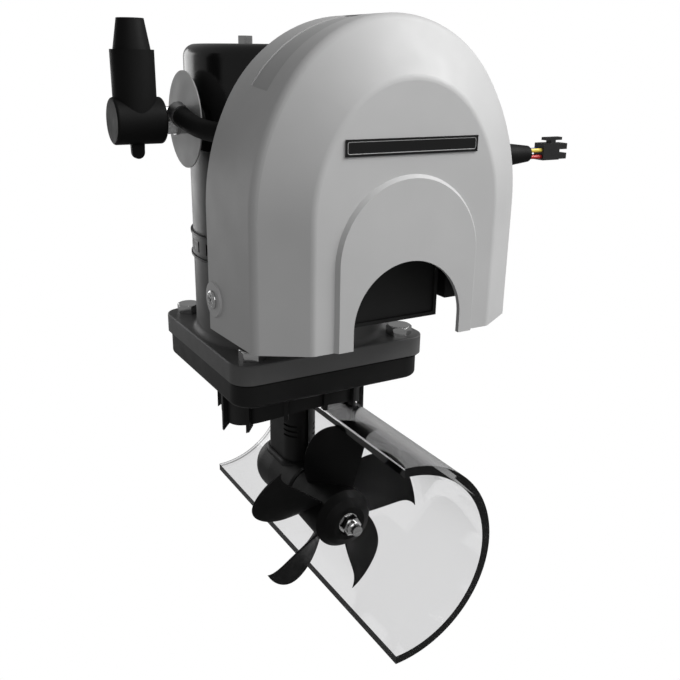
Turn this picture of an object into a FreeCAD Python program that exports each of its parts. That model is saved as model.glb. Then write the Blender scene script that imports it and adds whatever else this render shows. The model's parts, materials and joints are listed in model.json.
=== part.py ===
"""Electric bow thruster for a 140 mm tunnel, shown on a half section of its tunnel.

The frame's origin lies on the tunnel axis, straight below the motor shaft. The tunnel
runs along Y with the propeller on the -Y side, +Z points up the motor shaft, and the
half of the tunnel that is kept lies on the +X side.
"""
import FreeCAD, Part
import math
import os

V = FreeCAD.Vector
X_AXIS, Y_AXIS, Z_AXIS = V(1, 0, 0), V(0, 1, 0), V(0, 0, 1)

# ---------------------------------------------------------------- driving dimensions (mm)
running = 0.05                  # radial clearance of a shaft in its bearing
loose = 0.3                     # clearance between curved faces that pass each other

tunnel_bore = 140.0
tunnel_wall = 6.6
tunnel_length = 325.0
tunnel_hole_radius = 28.5       # hole in the crown of the tunnel for the leg

plate_half_x, plate_half_y = 77.4, 75.7
plate_corner = 14.0
plate_bottom, plate_top = 114.6, 129.0
plate_edge_radius = 1.2
gasket_thickness = 1.5
gasket_inset = 1.2

saddle_inset = 1.6
saddle_block_height = 16.7
saddle_edge_radius = 3.0
saddle_corner = 16.5
skirt_radius = 55.5
skirt_wall = 4.0
skirt_bond_gap = 2.4            # bond line left between the skirt and the tunnel
rib_count = 12
rib_reach = 3.2
rib_width = 3.0
hub_tube_radius = 31.0

leg_front_y, leg_rear_y = -14.0, 8.4
leg_radius = 13.2
leg_foot_height, leg_foot_reach = 20.0, 3.0
leg_groove_width = 3.8
leg_groove_depth = 3.0
leg_neck_radius = 23.0
leg_flange_radius = 36.0
leg_flange_thickness = 6.0
leg_bore_radius = 8.0
leg_slot_count = 3
leg_slot_bottom, leg_slot_pitch = 41.0, 4.3
leg_bearing_outer = 11.0
leg_bearing_width = 8.0
lower_leg_bearing_z = 24.0
upper_leg_bearing_z = 96.0

pod_radius = 22.6
pod_dome_y = 13.2
pod_front_y = -36.6
pod_front_radius = 21.0
pod_wall = 4.2
seal_radius, seal_width = 13.0, 5.0
carrier_radius, carrier_rear_y = 15.6, -12.5
front_bearing_outer, front_bearing_width = 13.0, 8.0
rear_bearing_y = 14.6
rear_bearing_outer, rear_bearing_width = 11.0, 6.0

bolt_spread_x, bolt_spread_y = 60.0, 62.0
bolt_diameter = 10.0
bolt_head_flats = 17.0
bolt_head_height = 7.2
bolt_shank = 24.5
insert_radius = 7.5

neck_radius = 71.7
neck_wall = 5.7
neck_fillet = 4.5
joint_height = 195.5            # where the neck meets the motor casing, under the band
casing_height = 68.5            # from the joint up to the end cap
cap_radius = 73.6
cap_height = 68.0
cap_wall = 4.0
cap_corner = 8.5
band_width = 18.0
band_thickness = 0.9
band_slot_count = 36

motor_bearing_outer, motor_bearing_height = 20.0, 10.0
coupling_radius, coupling_bottom, coupling_length = 14.0, 107.5, 17.0
coupling_depth = 12.0           # how far the drive shaft reaches into the coupling
through_bolt_radius, through_bolt_flats, through_bolt_head = 3.0, 10.0, 7.0
through_bolts = [(-9.5, 54.0), (9.5, -54.0)]
motor_shaft_radius = 8.5
drive_shaft_radius = 5.0
prop_shaft_radius = 6.0
armature_radius = 47.0
armature_bottom = 150.0
armature_headroom = 16.0        # from the armature up to the end cap
magnet_span = 62.0              # degrees covered by each of the four magnets
air_gap = 1.0
commutator_radius = 24.0
commutator_start, commutator_length = 4.0, 28.0    # above the top of the casing
brush_ring_height, brush_ring_thickness = 6.0, 3.0
holder_length, holder_width, holder_height, holder_wall = 22.0, 15.0, 15.0, 2.5
brush_length = 17.8

gear_module = 1.45
pinion_teeth, gear_teeth = 14, 21
gear_face = 6.0
backlash_share = 0.41           # tooth thickness as a share of the tooth pitch

hub_rear_y = -39.0
hub_rear_radius = 21.2
hub_front_y = -95.5
hub_nose_y = -86.5
hub_nose_radius = 23.0
hub_front_radius = 13.0
blade_count = 5
blade_root_radius = 20.0
blade_tip_radius = 68.8
blade_tip_y = -83.2
blade_tip_angle = 63.8
blade_advance = 30.7            # axial advance per radian of turn
blade_cup = 3.4                 # how much the advance falls off towards the leading edge
blade_root_turn = 1.08          # turn in radians covered by the root section
blade_taper = 0.36
blade_hollow = 0.115            # how far the trailing edge is hollowed ahead of its pointed tip
blade_root_thickness = 5.2
blade_tip_thickness = 1.7
shaft_end_y = -107.5
nut_bore, nut_flats, nut_height = 4.0, 13.0, 6.5
prop_washer_radius, prop_washer_thickness = 7.8, 1.6
nose_recess = 3.0
pin_radius, pin_y = 2.0, -48.0

cover_wall = 3.0
cover_base = 161.8
cover_flank_height = 75.2       # straight part of the flanks, below the arch
cover_rim_y, cover_shoulder_y, cover_front_y = -80.2, -138.7, -156.6
cover_rim = (96.6, 111.9, 135.0)          # half width, rise of the arch, flank radius
cover_shoulder = (93.4, 111.9, 130.0)
cover_front = (63.9, 78.2, 90.0)
cover_edge_radius = 7.0
plateau_height = 2.4
plateau_half, plateau_rise = 50.7, 101.0  # heights above the cover's base
plateau_slope = 2.5
opening_half, opening_rise = 38.5, 50.2
label_rear_y, label_front_y = -99.0, -120.0
label_x = (-74.0, -12.0)
label_depth = 0.7
cover_screw_y, cover_screw_rise = -87.0, 20.7
boss_radius, boss_height = 11.0, 0.4
screw_head_radius, screw_head_height = 5.8, 1.6
screw_cross_length, screw_cross_width, screw_cross_depth = 6.4, 1.2, 0.9
screw_radius = 3.0
badge_half, badge_height = 45.2, 9.3
badge_drop = 32.3               # from the top of the cover's front to the badge
badge_thickness, badge_border = 0.9, 1.1

board_y, board_thickness = -77.4, 2.6     # front face of the component board
board_half, board_height = 66.0, 137.2
board_lift = 1.0                # from the cover's base to the board
board_corner = 30.0
ear_reach, ear_rise, ear_depth = 12.0, 9.0, 7.0
box_half, box_front_y, box_drop, box_height = 52.0, -117.0, 1.6, 65.8
box_lip, box_recess = 2.5, 1.5
contactor_half, contactor_depth = 44.0, 46.0
coil_radius, coil_spread, coil_rise = 18.0, 21.0, 24.0
contactor_rise, contactor_height = 69.2, 60.0
base_thickness = 16.0           # of the contactor's base, which carries bar and studs
bar_drop = 14.0                 # from the contactor's top to the bar
bar_far_x, bar_y, bar_thickness = -79.0, -99.5, 4.0
unit_x, unit_height = (54.0, 74.0), 25.0
unit_depth = 15.5

terminal_y, terminal_rise = -8.0, 20.0    # rise above the top of the casing
stud_radius = 5.0
disc_x, disc_radius, disc_thickness = -81.2, 31.2, 0.8
lug_thickness, lug_radius = 2.6, 9.5
terminal_nut_flats = 17.0
terminal_nut_height, outer_nut_height = 4.6, 10.8
boot_near_x, boot_far_x = -97.4, -130.0
boot_radius = 14.8
boot_wall = 2.6
boot_lip = 3.0
tab_half, tab_tip_half, tab_thickness = 5.0, 4.2, 3.2
boot_stem_x = -114.4
stem_radius, stem_height = 13.8, 43.4
cone_base_radius, cone_top_radius, cone_height = 11.7, 8.5, 18.4
cable_entry_radius = 6.6
cable_radius = 6.2

loom_y, loom_z = -72.0, 258.6
loom_radius = 4.8
gland_length = 8.0
sleeve_start_x, sleeve_end_x = 128.0, 163.0
sleeve_start_radius, sleeve_end_radius = 10.0, 6.0
plug_start_x, plug_end_x = 175.2, 199.4
plug_half_y, plug_half_z = 5.2, 6.2
plug_lift = 1.2                 # how far the plug sits above the loom's centre line
wire_radius = 1.5
wire_spread_y, wire_spread_z = 2.2, 2.4

# ---------------------------------------------------------------- derived dimensions
tunnel_inner = tunnel_bore / 2
tunnel_outer = tunnel_inner + tunnel_wall
saddle_top = plate_bottom - gasket_thickness
saddle_bottom = saddle_top - saddle_block_height
insert_bottom = saddle_bottom + 1.5
casing_top = joint_height + casing_height
cap_top = casing_top + cap_height
armature_top = casing_top - armature_headroom
commutator_bottom = casing_top + commutator_start
commutator_top = commutator_bottom + commutator_length
cover_spring = cover_base + cover_flank_height
plateau_top = cover_base + plateau_rise
opening_top = cover_base + opening_rise
cover_screw_z = cover_base + cover_screw_rise
badge_top = cover_spring + cover_front[1] - badge_drop
badge_bottom = badge_top - badge_height
board_bottom = cover_base + board_lift
board_top = board_bottom + board_height
box_bottom = cover_base - box_drop
box_top = box_bottom + box_height
contactor_bottom = board_bottom + contactor_rise
contactor_top = contactor_bottom + contactor_height
terminal_z = casing_top + terminal_rise
stem_top = terminal_z + stem_height
cone_top = stem_top + cone_height
unit_front_y = board_y
plug_z = loom_z + plug_lift
lug_x = disc_x - disc_thickness - terminal_nut_height
cone_distance = gear_module * math.hypot(pinion_teeth, gear_teeth) / 2
pinion_angle = math.atan2(pinion_teeth, gear_teeth)
gear_angle = math.pi / 2 - pinion_angle


# ---------------------------------------------------------------- helpers
def cylinder(radius, start, length, axis=Z_AXIS):
    return Part.makeCylinder(radius, length, start, axis)


def ring(outer, inner, start, length, axis=Z_AXIS):
    bore_start = start - axis * 1.0
    return cylinder(outer, start, length, axis).cut(cylinder(inner, bore_start, length + 2.0, axis))


def block(x_range, y_range, z_range):
    low = V(x_range[0], y_range[0], z_range[0])
    return Part.makeBox(x_range[1] - x_range[0], y_range[1] - y_range[0], z_range[1] - z_range[0], low)


def at(axis_name, station, radius):
    """Point in the half plane in which the profiles of turned pieces are drawn."""
    return V(radius, station, 0) if axis_name == "y" else V(radius, 0, station)


def turned(axis_name, stations):
    """Solid of revolution from (station along the axis, radius) pairs."""
    points = [at(axis_name, station, radius) for station, radius in stations]
    face = Part.Face(Part.makePolygon(points + [points[0]]))
    return face.revolve(V(0, 0, 0), Y_AXIS if axis_name == "y" else Z_AXIS, 360)


def hexagon(flats, start, length, axis):
    """Hexagonal prism, two of whose corners point along a cross axis."""
    side = X_AXIS if abs(axis.x) < 0.5 else Y_AXIS
    other = axis.cross(side)
    corner = flats / math.sqrt(3)
    turns = [math.radians(60 * i) for i in range(7)]
    points = [start + side * (corner * math.cos(t)) + other * (corner * math.sin(t)) for t in turns]
    return Part.Face(Part.makePolygon(points)).extrude(axis * length)


def rounded_plate(half_x, half_y, corner, bottom, top):
    plate = block((-half_x, half_x), (-half_y, half_y), (bottom, top))
    uprights = [e for e in plate.Edges if abs(e.tangentAt(e.FirstParameter).z) > 0.9]
    return plate.makeFillet(corner, uprights)


def edges_at_height(shape, height):
    found = []
    for edge in shape.Edges:
        box = edge.BoundBox
        if abs(box.ZMin - height) < 1e-3 and abs(box.ZMax - height) < 1e-3:
            found.append(edge)
    return found


def fused(shapes):
    whole = shapes[0]
    for shape in shapes[1:]:
        whole = whole.fuse(shape)
    return whole.removeSplitter()


def group(shapes):
    return Part.makeCompound(shapes)


def corners(half_x, half_y):
    return [(sx * half_x, sy * half_y) for sx in (-1, 1) for sy in (-1, 1)]


def turned_copies(shape, count, axis, start=0.0):
    copies = []
    for i in range(count):
        copy = shape.copy()
        copy.rotate(V(0, 0, 0), axis, start + 360.0 * i / count)
        copies.append(copy)
    return copies


def route_tube(points, radius):
    """Tube along straight runs joined by tangent arcs, with the smallest arc's radius."""
    edges, radii, start = [], [], points[0]
    for i in range(1, len(points) - 1):
        before, here, after = points[i - 1], points[i], points[i + 1]
        run_in, run_out = here - before, after - here
        half_turn = run_in.getAngle(run_out) / 2
        shorter = min(run_in.Length, run_out.Length)
        reach = 0.45 * shorter
        radii.append(reach / math.tan(half_turn))
        run_in.normalize()
        run_out.normalize()
        arc_start, arc_end = here - run_in * reach, here + run_out * reach
        inward = run_out - run_in
        inward.normalize()
        gap = radii[-1] * (1 / math.cos(half_turn) - 1)
        edges.append(Part.LineSegment(start, arc_start).toShape())
        edges.append(Part.Arc(arc_start, here + inward * gap, arc_end).toShape())
        start = arc_end
    edges.append(Part.LineSegment(start, points[-1]).toShape())
    path = Part.Wire(edges)
    first = points[1] - points[0]
    section = Part.Wire(Part.makeCircle(radius, points[0], first))
    tube = path.makePipeShell([section], True, False)
    return tube, path.Length, min(radii)


# ---------------------------------------------------------------- tunnel, saddle and bracket
def tunnel_section():
    half = tunnel_length / 2
    pipe = ring(tunnel_outer, tunnel_inner, V(0, -half, 0), tunnel_length, Y_AXIS)
    reach = 2 * tunnel_outer
    away = block((-reach, 0), (-tunnel_length, tunnel_length), (-reach, reach))
    return pipe.cut(away).cut(cylinder(tunnel_hole_radius, V(0, 0, 0), tunnel_outer + 5))


def above_tunnel(shape, gap):
    """What is left of a shape above the tunnel's outer wall and a gap."""
    pipe = cylinder(tunnel_outer + gap, V(0, -tunnel_length, 0), 2 * tunnel_length, Y_AXIS)
    return shape.cut(pipe)


def saddle():
    half_x, half_y = plate_half_x - saddle_inset, plate_half_y - saddle_inset
    plate = rounded_plate(half_x, half_y, saddle_corner, saddle_bottom, saddle_top)
    plate = plate.makeFillet(saddle_edge_radius, edges_at_height(plate, saddle_bottom))
    depth = saddle_bottom + 1.0
    skirt = ring(skirt_radius, skirt_radius - skirt_wall, V(0, 0, 0), depth)
    skirt = above_tunnel(skirt, skirt_bond_gap)
    hub = above_tunnel(cylinder(hub_tube_radius, V(0, 0, 0), depth), 0)
    rib_inner = skirt_radius - skirt_wall / 2
    rib = block((rib_inner, skirt_radius + rib_reach), (-rib_width / 2, rib_width / 2), (0, depth))
    web = block((hub_tube_radius - 2, rib_inner), (-rib_width / 2, rib_width / 2), (0, depth))
    ribs = [above_tunnel(r, 0) for r in turned_copies(rib, rib_count, Z_AXIS)]
    webs = [above_tunnel(w, skirt_bond_gap) for w in turned_copies(web, rib_count // 2, Z_AXIS)]
    body = fused([plate, skirt, hub] + ribs + webs)
    flange_seat = cylinder(leg_flange_radius + loose, V(0, 0, saddle_top - leg_flange_thickness), 20)
    leg_way = cylinder(leg_neck_radius + loose, V(0, 0, 0), saddle_top + 5)
    body = body.cut(flange_seat).cut(leg_way)
    for x, y in corners(bolt_spread_x, bolt_spread_y):
        body = body.cut(cylinder(insert_radius, V(x, y, insert_bottom), 50))
    return body


def saddle_inserts():
    """Threaded metal inserts in the saddle for the bracket's bolts."""
    inserts = []
    for x, y in corners(bolt_spread_x, bolt_spread_y):
        start = V(x, y, insert_bottom)
        inserts.append(ring(insert_radius, bolt_diameter / 2, start, saddle_top - insert_bottom))
    return group(inserts)


def saddle_gasket():
    half_x, half_y = plate_half_x - gasket_inset, plate_half_y - gasket_inset
    sheet = rounded_plate(half_x, half_y, plate_corner, saddle_top, plate_bottom)
    sheet = sheet.cut(cylinder(leg_flange_radius + loose, V(0, 0, saddle_top - 5), 20))
    for x, y in corners(bolt_spread_x, bolt_spread_y):
        sheet = sheet.cut(cylinder(bolt_diameter / 2 + loose, V(x, y, saddle_top - 5), 20))
    return sheet


def neck_foot():
    """Fillet at the foot of the neck, trimmed where the plate's edge rounds off."""
    low, high = plate_top - 1.0, plate_top + neck_fillet
    inner, outer = neck_radius - 1.0, neck_radius + neck_fillet
    drop = neck_fillet * (1 - math.sqrt(0.5))
    curve = Part.Arc(V(outer, 0, plate_top), V(neck_radius + drop, 0, plate_top + drop), V(neck_radius, 0, high))
    corner = [V(neck_radius, 0, high), V(inner, 0, high), V(inner, 0, low), V(outer, 0, low), V(outer, 0, plate_top)]
    face = Part.Face(Part.Wire([curve.toShape()] + Part.makePolygon(corner).Edges))
    flat = rounded_plate(plate_half_x - plate_edge_radius, plate_half_y - plate_edge_radius,
                         plate_corner - plate_edge_radius, low, high + 1.0)
    return face.revolve(V(0, 0, 0), Z_AXIS, 360).common(flat)


def motor_bracket():
    plate = rounded_plate(plate_half_x, plate_half_y, plate_corner, plate_bottom, plate_top)
    plate = plate.makeFillet(plate_edge_radius, edges_at_height(plate, plate_top))
    neck = cylinder(neck_radius, V(0, 0, plate_top - 1), joint_height - plate_top + 1)
    body = fused([plate, neck, neck_foot()])
    for x, y in corners(bolt_spread_x, bolt_spread_y):
        body = body.cut(cylinder(bolt_diameter / 2 + loose, V(x, y, plate_bottom - 5), 80))
    floor = plate_top + 6
    cavity = cylinder(neck_radius - neck_wall, V(0, 0, floor), joint_height)
    bearing_seat = cylinder(motor_bearing_outer, V(0, 0, floor - motor_bearing_height), 50)
    coupling_room = cylinder(coupling_radius + 2.0, V(0, 0, plate_bottom - 5), 60)
    lower = floor - motor_bearing_height
    coupling_room = coupling_room.common(block((-99, 99), (-99, 99), (0, lower)))
    shaft_way = cylinder(motor_shaft_radius + 2.0, V(0, 0, plate_bottom - 5), 60)
    for x, y in through_bolts:
        body = body.cut(cylinder(through_bolt_radius, V(x, y, plate_bottom + 6), 40))
    return body.cut(cavity).cut(bearing_seat).cut(coupling_room).cut(shaft_way)


def bracket_bolts():
    bolts = []
    for x, y in corners(bolt_spread_x, bolt_spread_y):
        seat = plate_top
        head = hexagon(bolt_head_flats, V(x, y, seat), bolt_head_height, Z_AXIS)
        chamfer = turned("z", [(0, 0), (0, bolt_head_flats), (bolt_head_height - 1.6, bolt_head_flats * 0.58),
                               (bolt_head_height, bolt_head_flats * 0.5), (bolt_head_height, 0)])
        chamfer.translate(V(x, y, seat))
        shank = cylinder(bolt_diameter / 2, V(x, y, seat - bolt_shank), bolt_shank + 1)
        bolts.append(head.common(chamfer).fuse(shank).removeSplitter())
    return group(bolts)


# ---------------------------------------------------------------- gear leg
def leg_column(bottom, top, grow=0.0):
    """Upright with straight flanks and round nose and tail, for the flow in the tunnel."""
    radius = leg_radius + grow
    nose = cylinder(radius, V(0, leg_front_y, bottom), top - bottom)
    tail = cylinder(radius, V(0, leg_rear_y, bottom), top - bottom)
    return fused([nose, tail, block((-radius, radius), (leg_front_y, leg_rear_y), (bottom, top))])


def pod_body():
    cross = math.sqrt(0.5) * pod_radius
    tip, dome = V(0, pod_dome_y + pod_radius, 0), V(pod_radius, pod_dome_y, 0)
    sides = Part.makePolygon([tip, V(0, pod_front_y, 0), V(pod_front_radius - 1.5, pod_front_y, 0),
                              V(pod_front_radius, pod_front_y + 1.5, 0), V(pod_radius, pod_dome_y - 16, 0), dome])
    curve = Part.Arc(dome, V(cross, pod_dome_y + cross, 0), tip).toShape()
    return Part.Face(Part.Wire(sides.Edges + [curve])).revolve(V(0, 0, 0), Y_AXIS, 360)


def gear_leg():
    top = plate_bottom
    column = leg_column(0, tunnel_inner + 2)
    foot = leg_column(0, leg_foot_height, leg_foot_reach)
    foot = foot.makeFillet(leg_foot_reach - 0.2, edges_at_height(foot, leg_foot_height))
    neck = cylinder(leg_neck_radius, V(0, 0, tunnel_inner - 2), top - tunnel_inner + 2)
    flange_start = V(0, 0, saddle_top - leg_flange_thickness)
    flange = cylinder(leg_flange_radius, flange_start, leg_flange_thickness + gasket_thickness)
    collar = turned("z", [(tunnel_inner - 10, 0), (tunnel_inner - 10, leg_radius), (tunnel_inner - 2, leg_neck_radius),
                          (tunnel_inner + 2, leg_neck_radius), (tunnel_inner + 2, 0)])
    body = fused([pod_body(), column, foot, collar, neck, flange])
    groove_y = leg_front_y - leg_radius
    groove = block((-leg_groove_width / 2, leg_groove_width / 2), (groove_y - 2, groove_y + leg_groove_depth),
                   (pod_radius, tunnel_inner - 4))
    body = body.cut(groove)
    for i in range(leg_slot_count):
        height = leg_slot_bottom + leg_slot_pitch * i
        slot = ring(leg_radius + 4, leg_radius - 1.6, V(0, leg_front_y, height), 1.6)
        window = block((2.8, 30), (leg_front_y - leg_radius * 0.86, leg_front_y), (0, 99))
        mirrored = block((-30, -2.8), (leg_front_y - leg_radius * 0.86, leg_front_y), (0, 99))
        body = body.cut(slot.common(window)).cut(slot.common(mirrored))
    room_length = rear_bearing_y - carrier_rear_y - 0.01
    gear_room = cylinder(pod_radius - pod_wall, V(0, carrier_rear_y, 0), room_length, Y_AXIS)
    seat_length = carrier_rear_y - pod_front_y + 5.1
    carrier_seat = cylinder(carrier_radius, V(0, pod_front_y - 5, 0), seat_length, Y_AXIS)
    rear_seat = cylinder(rear_bearing_outer, V(0, rear_bearing_y - 1, 0), rear_bearing_width + 1, Y_AXIS)
    shaft_end = cylinder(prop_shaft_radius + 1, V(0, rear_bearing_y, 0), rear_bearing_width + 2, Y_AXIS)
    shaft_way = cylinder(leg_bore_radius, V(0, 0, 0), top + 5)
    lower_seat = cylinder(leg_bearing_outer, V(0, 0, lower_leg_bearing_z - 6), leg_bearing_width + 6)
    upper_seat = cylinder(leg_bearing_outer, V(0, 0, upper_leg_bearing_z), top)
    mouth = cylinder(coupling_radius + 2.0, V(0, 0, upper_leg_bearing_z + leg_bearing_width + 2), top)
    for room in (gear_room, carrier_seat, rear_seat, shaft_end, shaft_way, lower_seat, upper_seat, mouth):
        body = body.cut(room)
    return body


def bearing_carrier():
    """Sleeve in the pod's mouth that holds the front bearing and the shaft seal."""
    length = carrier_rear_y - pod_front_y
    body = cylinder(carrier_radius, V(0, pod_front_y, 0), length, Y_AXIS)
    body = body.cut(cylinder(prop_shaft_radius + 1.5, V(0, pod_front_y - 1, 0), length + 2, Y_AXIS))
    body = body.cut(cylinder(seal_radius, V(0, pod_front_y - 1, 0), seal_width + 1, Y_AXIS))
    bearing_y = carrier_rear_y - front_bearing_width
    return body.cut(cylinder(front_bearing_outer, V(0, bearing_y, 0), front_bearing_width + 1, Y_AXIS))


def shaft_seal():
    return ring(seal_radius, prop_shaft_radius + running, V(0, pod_front_y, 0), seal_width, Y_AXIS)


def propeller_bearings():
    front = ring(front_bearing_outer, prop_shaft_radius + running,
                 V(0, carrier_rear_y - front_bearing_width, 0), front_bearing_width, Y_AXIS)
    rear = ring(rear_bearing_outer, prop_shaft_radius - 1 + running,
                V(0, rear_bearing_y, 0), rear_bearing_width, Y_AXIS)
    return group([front, rear])


def leg_bearings():
    bearings = []
    for height in (lower_leg_bearing_z, upper_leg_bearing_z):
        bearings.append(ring(leg_bearing_outer, drive_shaft_radius + running, V(0, 0, height), leg_bearing_width))
    return group(bearings)


# ---------------------------------------------------------------- drive train
def bevel_gear(teeth, angle, bore_radius, hub_length, phase):
    """Straight bevel gear about +Z with its apex at the origin and the big end away from it."""
    addendum, dedendum = 0.85 * gear_module, 1.1 * gear_module
    inner_share = 1 - gear_face / cone_distance
    pitch_radius = cone_distance * math.sin(angle)
    pitch_height = cone_distance * math.cos(angle)
    root_out = (pitch_radius - dedendum * math.cos(angle), pitch_height + dedendum * math.sin(angle))
    tip_out = (pitch_radius + addendum * math.cos(angle), pitch_height - addendum * math.sin(angle))
    blank = turned("z", [
        (root_out[1] * inner_share, bore_radius),
        (root_out[1] * inner_share, root_out[0] * inner_share),
        (root_out[1], root_out[0]),
        (root_out[1] + hub_length, root_out[0] * 0.75),
        (root_out[1] + hub_length, bore_radius),
    ])
    step = 2 * math.pi / teeth

    def section(share):
        points = []
        for (radius, height), width in ((root_out, 0.5 + 0.22), (tip_out, 0.5 - 0.16)):
            inset = 0.25 if radius == root_out[0] else 0.0
            half = step * backlash_share * width
            axis_radius = (radius - inset * math.cos(angle)) * share
            axis_height = (height + inset * math.sin(angle)) * share
            sides = (-half, half) if width > 0.5 else (half, -half)
            for turn in sides:
                points.append(V(axis_radius * math.cos(turn), axis_radius * math.sin(turn), axis_height))
        return Part.makePolygon(points + [points[0]])

    tooth = Part.makeLoft([section(inner_share), section(1.0)], True, True)
    return fused([blank] + turned_copies(tooth, teeth, Z_AXIS, phase))


def drive_pinion():
    """Pinion with a tooth facing +Y, where it meets the driven gear."""
    return bevel_gear(pinion_teeth, pinion_angle, drive_shaft_radius, 1.0, 90.0)


def driven_gear():
    """Gear about +Y with a tooth gap facing +Z."""
    gear = bevel_gear(gear_teeth, gear_angle, prop_shaft_radius, 1.2, 90.0)
    gear.rotate(V(0, 0, 0), X_AXIS, -90)
    return gear


def drive_shaft():
    pinion_front = cone_distance * math.cos(pinion_angle) * (1 - gear_face / cone_distance) - 0.5
    return cylinder(drive_shaft_radius, V(0, 0, pinion_front), coupling_bottom + coupling_depth - pinion_front)


def shaft_coupling():
    body = cylinder(coupling_radius, V(0, 0, coupling_bottom), coupling_length)
    body = body.cut(cylinder(drive_shaft_radius, V(0, 0, coupling_bottom - 1), coupling_depth + 1))
    return body.cut(cylinder(motor_shaft_radius, V(0, 0, coupling_bottom + coupling_depth), 20))


def motor_shaft():
    bottom = coupling_bottom + coupling_depth
    return cylinder(motor_shaft_radius, V(0, 0, bottom), cap_top - cap_wall - 3 - bottom)


def motor_bearings():
    lower = ring(motor_bearing_outer, motor_shaft_radius + running,
                 V(0, 0, plate_top + 6 - motor_bearing_height), motor_bearing_height)
    upper = ring(motor_bearing_outer, motor_shaft_radius + running,
                 V(0, 0, cap_top - cap_wall - motor_bearing_height - 3), motor_bearing_height)
    return group([lower, upper])


def armature():
    core = ring(armature_radius, motor_shaft_radius, V(0, 0, armature_bottom), armature_top - armature_bottom)
    slot = block((armature_radius - 4, armature_radius + 2), (-1.2, 1.2), (armature_bottom - 1, armature_top + 1))
    for cut in turned_copies(slot, 16, Z_AXIS):
        core = core.cut(cut)
    low = ring(armature_radius - 7, motor_shaft_radius + 3, V(0, 0, armature_bottom - 8), 8)
    high = ring(armature_radius - 7, motor_shaft_radius + 3, V(0, 0, armature_top), 14)
    return fused([core, low, high])


def commutator():
    body = ring(commutator_radius, motor_shaft_radius, V(0, 0, commutator_bottom), commutator_top - commutator_bottom)
    slot = block((commutator_radius - 1.2, commutator_radius + 2), (-0.4, 0.4),
                 (commutator_bottom - 1, commutator_top + 1))
    for cut in turned_copies(slot, 16, Z_AXIS):
        body = body.cut(cut)
    return body


def prop_shaft():
    step_y = rear_bearing_y
    body = cylinder(prop_shaft_radius, V(0, hub_front_y + 8, 0), step_y - 0.2 - hub_front_y - 8, Y_AXIS)
    tail = cylinder(prop_shaft_radius - 1, V(0, step_y - 1, 0), rear_bearing_width + 1.5, Y_AXIS)
    thread = cylinder(nut_bore, V(0, shaft_end_y, 0), hub_front_y + 9 - shaft_end_y, Y_AXIS)
    body = fused([body, tail, thread])
    return body.cut(cylinder(pin_radius, V(-20, pin_y, 0), 40, X_AXIS))


def drive_pin():
    return cylinder(pin_radius, V(-hub_rear_radius + 7, pin_y, 0), 2 * hub_rear_radius - 14, X_AXIS)


# ---------------------------------------------------------------- propeller
def blade_section(share):
    """Two faces' edges of the section wrapped on a cylinder; share runs from root (0) to tip (1)."""
    radius = blade_root_radius + (blade_tip_radius - blade_root_radius) * share
    outer = max(0.0, share)
    trail = blade_hollow * outer * (1 - outer ** 7)
    lead = (blade_root_turn - blade_taper * outer) * max(0.003, 1 - outer ** 2.6) ** 0.12
    thickness = blade_root_thickness + (blade_tip_thickness - blade_root_thickness) * outer
    tilt = math.atan2(blade_advance, radius)
    sides = {1: [], -1: []}
    steps = 8
    for side, line in sides.items():
        for i in range(steps + 1):
            along = 0.5 - 0.5 * math.cos(math.pi * i / steps)
            turn = trail + (lead - trail) * along
            half = side * thickness * (0.13 + 0.37 * math.sin(math.pi * along) ** 0.7)
            angle = turn + half * math.sin(tilt) / radius
            y = blade_tip_y + blade_advance * turn - blade_cup * turn ** 2 - half * math.cos(tilt)
            line.append(V(radius * math.cos(angle), y, radius * math.sin(angle)))
    edges = []
    for line in sides.values():
        curve = Part.BSplineCurve()
        curve.interpolate(line)
        edges.append(curve.toShape())
    return edges


def blade():
    stations = [-0.08, 0.1, 0.3, 0.5, 0.68, 0.82, 0.92, 0.98, 1.0]
    sections = [blade_section(share) for share in stations]
    wires = []
    for upper, lower in sections:
        lead = Part.LineSegment(upper.Vertexes[-1].Point, lower.Vertexes[-1].Point).toShape()
        trail = Part.LineSegment(lower.Vertexes[0].Point, upper.Vertexes[0].Point).toShape()
        wires.append(Part.Wire([upper, lead, lower, trail]))
    skin = Part.makeLoft(wires, False, False)
    ends = [Part.makeRuledSurface(*sections[0]), Part.makeRuledSurface(*sections[-1])]
    shell = Part.Shell(skin.Faces + ends)
    shell.sewShape()
    return Part.Solid(shell)


def propeller():
    hub = turned("y", [(hub_rear_y, 0), (hub_rear_y, hub_rear_radius - 1), (hub_rear_y - 1, hub_rear_radius),
                       (hub_nose_y, hub_nose_radius), (hub_nose_y - 5.5, hub_front_radius + 6),
                       (hub_front_y, hub_front_radius), (hub_front_y, 0)])
    blades = turned_copies(blade(), blade_count, Y_AXIS, -blade_tip_angle)
    body = fused([hub] + blades)
    body = body.cut(cylinder(prop_shaft_radius, V(0, hub_front_y - 1, 0), hub_rear_y - hub_front_y + 2, Y_AXIS))
    body = body.cut(cylinder(prop_washer_radius + 1, V(0, hub_front_y - 1, 0), nose_recess + 1, Y_AXIS))
    reach = hub_rear_radius - 6
    slot = block((-reach, reach), (pin_y - pin_radius, hub_rear_y + 1), (-pin_radius, pin_radius))
    return body.cut(slot)


def prop_washer():
    start = V(0, hub_front_y + nose_recess - prop_washer_thickness, 0)
    return ring(prop_washer_radius, nut_bore, start, prop_washer_thickness, Y_AXIS)


def prop_nut():
    start = V(0, hub_front_y + nose_recess - prop_washer_thickness - nut_height, 0)
    return hexagon(nut_flats, start, nut_height, Y_AXIS).cut(cylinder(nut_bore, start - Y_AXIS, 20, Y_AXIS))


# ---------------------------------------------------------------- motor
def motor_casing():
    return ring(neck_radius, neck_radius - neck_wall, V(0, 0, joint_height), casing_top - joint_height)


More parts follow.
